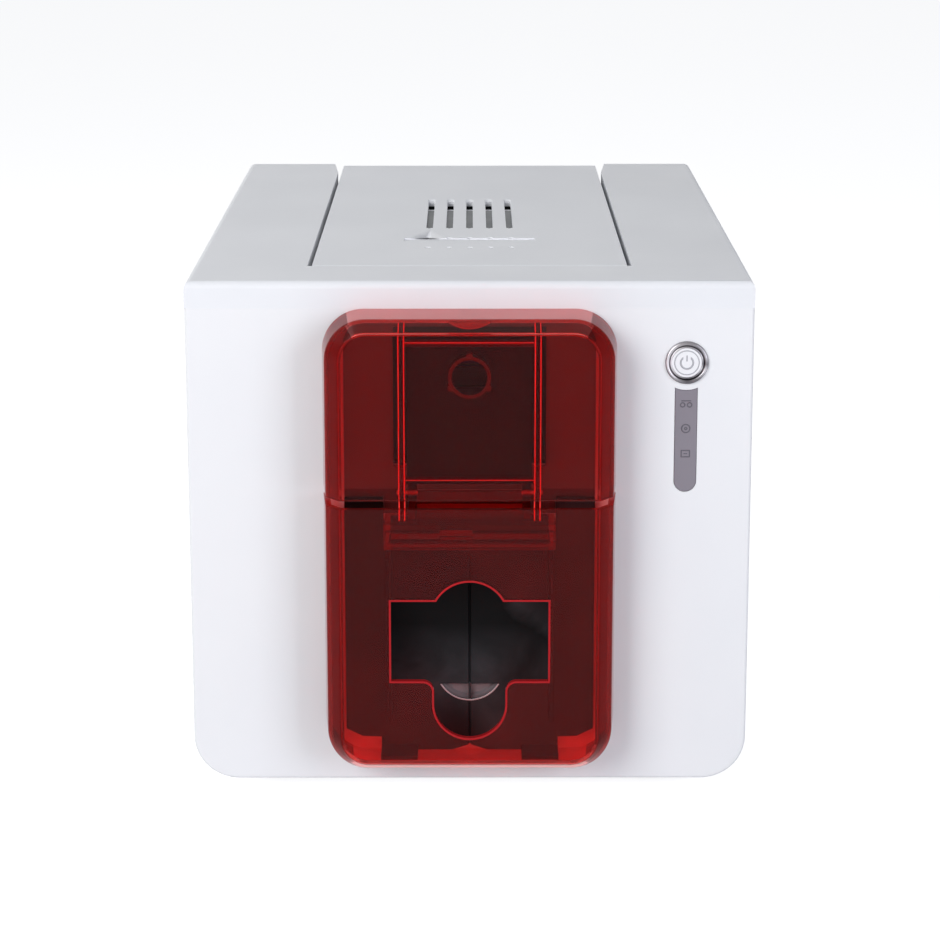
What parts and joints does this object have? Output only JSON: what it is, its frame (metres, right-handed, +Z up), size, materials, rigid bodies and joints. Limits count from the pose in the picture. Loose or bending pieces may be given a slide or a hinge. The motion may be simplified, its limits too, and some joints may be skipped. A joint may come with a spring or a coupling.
{
  "type": "id card printer",
  "caption": "Desktop printer for plastic cards: grey casing with a rear-hinged top lid, gloss white front, clear red feeder door above a clear red output hopper, push button and status lens.",
  "frame": {"origin": "centre of the footprint at desk level, under the feet", "axes": "+X to the printer's right as seen from the front, front faces -Y, +Z up"},
  "size_m": [0.205, 0.31, 0.195],
  "materials": {
    "shell_grey": "satin, finely textured",
    "fascia_white": "high gloss",
    "clear_red": "clear tinted polycarbonate, polished",
    "frame_red": "dark red moulding",
    "black_plastic": "satin black",
    "dark_plastic": "satin dark grey",
    "rubber": "matt rubber",
    "cleaning_rubber": "tacky silicone rubber",
    "steel": "bright zinc-plated steel",
    "bronze": "sintered bronze",
    "aluminium": "natural",
    "chrome": "satin chrome",
    "button_white": "gloss",
    "lens": "smoked translucent",
    "ceramic": "glazed ceramic",
    "board_green": "solder resist",
    "film": "thin dye film",
    "spool_blue": "satin",
    "slider_grey": "satin"
  },
  "bodies": {
    "printer": {"base_tray": "shell_grey", "upper_casing": "shell_grey", "front_fascia": "fascia_white", "rear_panel": "shell_grey", "feet": "rubber", "casing_screws": "steel", "chassis_left": "steel", "chassis_right": "steel", "chassis_ties": "steel", "chassis_screws": "steel", "hinge_pins": "steel", "card_guide": "black_plastic", "bushings": "bronze", "drive_motor": "dark_plastic", "drive_belts": "rubber", "feeder_box": "black_plastic", "feeder_bezel": "black_plastic", "feed_ramp": "black_plastic", "ribbon_cassette": "dark_plastic", "ribbon_film": "film", "main_board": "board_green", "usb_socket": "steel", "network_socket": "steel", "power_jack": "black_plastic", "fan_frame": "black_plastic", "panel_board": "board_green", "status_lens": "lens", "button_ring": "chrome", "door_pins": "steel", "slot_frame": "frame_red", "output_hopper": "clear_red", "output_tray": "black_plastic"},
    "lid": {"lid": "shell_grey", "lid_frame": "dark_plastic", "head_bracket": "steel", "head_springs": "steel"},
    "head": {"head_carrier": "aluminium", "print_head": "ceramic"},
    "door": {"feeder_door": "clear_red", "door_frame": "frame_red"},
    "pad": {"stack_pad": "black_plastic"},
    "button": {"power_button": "button_white"},
    "gauge": {"gauge_slider": "slider_grey"},
    "platen": {"platen_shaft": "steel", "platen_rubber": "rubber", "platen_pulleys": "black_plastic"},
    "front_roller": {"front_roller_shaft": "steel", "front_roller_rubber": "rubber", "front_roller_pulleys": "black_plastic"},
    "rear_roller": {"rear_roller_shaft": "steel", "rear_roller_rubber": "rubber", "rear_roller_pulley": "black_plastic"},
    "pickup_roller": {"pickup_shaft": "steel", "pickup_rubber": "rubber", "pickup_pulley": "black_plastic"},
    "motor_spindle": {"motor_pulley": "steel"},
    "cleaning_roller": {"cleaning_roller": "cleaning_rubber"},
    "takeup_spool": {"takeup_spool": "spool_blue"},
    "supply_spool": {"supply_spool": "spool_blue"},
    "fan_rotor": {"fan_rotor": "dark_plastic"}
  },
  "joints": [
    {"name": "lid_hinge", "type": "hinge", "parent": "printer", "child": "lid", "pos_m": [0, 0.149, 0.189], "axis": [-1, 0, 0], "range_deg": [0, 30]},
    {"name": "head_float", "type": "slide", "parent": "lid", "child": "head", "axis": [0, 0, 1], "range_m": [0, 0.0015], "stiffness_N_per_m": 3000, "springref_m": -0.001},
    {"name": "feeder_door_hinge", "type": "hinge", "parent": "printer", "child": "door", "pos_m": [0, -0.1505, 0.122], "axis": [1, 0, 0], "range_deg": [0, 85]},
    {"name": "stack_pad_slide", "type": "slide", "parent": "door", "child": "pad", "axis": [0, -1, 0], "range_m": [0, 0.002], "stiffness_N_per_m": 200, "springref_m": -0.001},
    {"name": "power_button_press", "type": "slide", "parent": "printer", "child": "button", "axis": [0, 1, 0], "range_m": [0, 0.0008], "stiffness_N_per_m": 1500, "springref_m": -0.0002},
    {"name": "thickness_gauge_slide", "type": "slide", "parent": "printer", "child": "gauge", "axis": [1, 0, 0], "range_m": [0, 0.0194]},
    {"name": "platen_spin", "type": "hinge", "parent": "printer", "child": "platen", "pos_m": [0, 0.04, 0.0972], "axis": [1, 0, 0], "continuous": true},
    {"name": "front_roller_spin", "type": "hinge", "parent": "printer", "child": "front_roller", "pos_m": [0, -0.11, 0.0982], "axis": [1, 0, 0], "continuous": true},
    {"name": "rear_roller_spin", "type": "hinge", "parent": "printer", "child": "rear_roller", "pos_m": [0, 0.095, 0.0982], "axis": [1, 0, 0], "continuous": true},
    {"name": "pickup_roller_spin", "type": "hinge", "parent": "printer", "child": "pickup_roller", "pos_m": [0, -0.075, 0.1202], "axis": [1, 0, 0], "continuous": true},
    {"name": "motor_spin", "type": "hinge", "parent": "printer", "child": "motor_spindle", "pos_m": [0, 0.005, 0.06], "axis": [1, 0, 0], "continuous": true},
    {"name": "cleaning_roller_spin", "type": "hinge", "parent": "printer", "child": "cleaning_roller", "pos_m": [0, -0.094, 0.1113], "axis": [1, 0, 0], "continuous": true},
    {"name": "takeup_spin", "type": "hinge", "parent": "printer", "child": "takeup_spool", "pos_m": [0, -0.015, 0.146], "axis": [1, 0, 0], "continuous": true},
    {"name": "supply_spin", "type": "hinge", "parent": "printer", "child": "supply_spool", "pos_m": [0, 0.085, 0.142], "axis": [1, 0, 0], "continuous": true},
    {"name": "fan_spin", "type": "hinge", "parent": "printer", "child": "fan_rotor", "pos_m": [-0.073, 0.142, 0.146], "axis": [0, 1, 0], "continuous": true}
  ],
  "couplings": [
    {"joint": "front_roller_spin", "follows": "platen_spin", "ratio": 1},
    {"joint": "rear_roller_spin", "follows": "platen_spin", "ratio": 1},
    {"joint": "pickup_roller_spin", "follows": "platen_spin", "ratio": 1},
    {"joint": "motor_spin", "follows": "platen_spin", "ratio": 1},
    {"joint": "supply_spin", "follows": "takeup_spin", "ratio": 0.6667}
  ]
}
